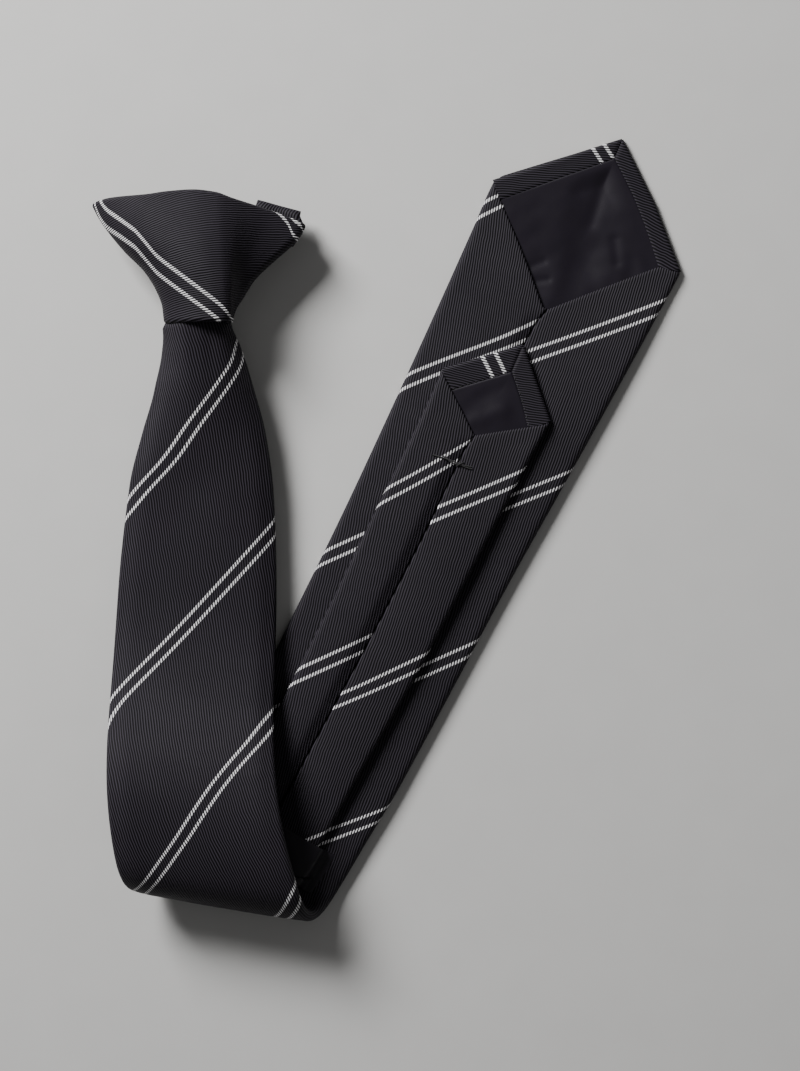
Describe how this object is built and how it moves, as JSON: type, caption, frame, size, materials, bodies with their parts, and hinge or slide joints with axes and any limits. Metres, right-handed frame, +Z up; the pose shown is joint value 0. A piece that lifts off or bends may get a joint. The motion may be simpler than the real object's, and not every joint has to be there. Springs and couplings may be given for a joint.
{
  "type": "clip-on tie",
  "caption": "Pre-tied clip-on tie lying folded once: knot and front blade face up, the back with the narrow tail and keeper band showing on the other leg.",
  "frame": {"origin": "centre of the footprint on the surface the tie lies on", "axes": "+Z up from the surface, +Y from the fold towards the knot, +X from the knot's leg towards the tip's leg"},
  "size_m": [0.186, 0.2481, 0.0265],
  "materials": {
    "tie_cloth": "black rib twill with pairs of thin white stripes",
    "lining_satin": "smooth dark violet-black satin",
    "band_satin": "smooth black woven satin band",
    "clip_steel": "plain spring steel"
  },
  "bodies": {
    "root": {"knot": "tie_cloth", "knot_tab": "tie_cloth", "front_blade": "tie_cloth", "front_tipping": "lining_satin", "tail_blade": "tie_cloth", "tail_tipping": "lining_satin", "keeper_loop": "band_satin", "clip": "clip_steel"}
  },
  "joints": []
}
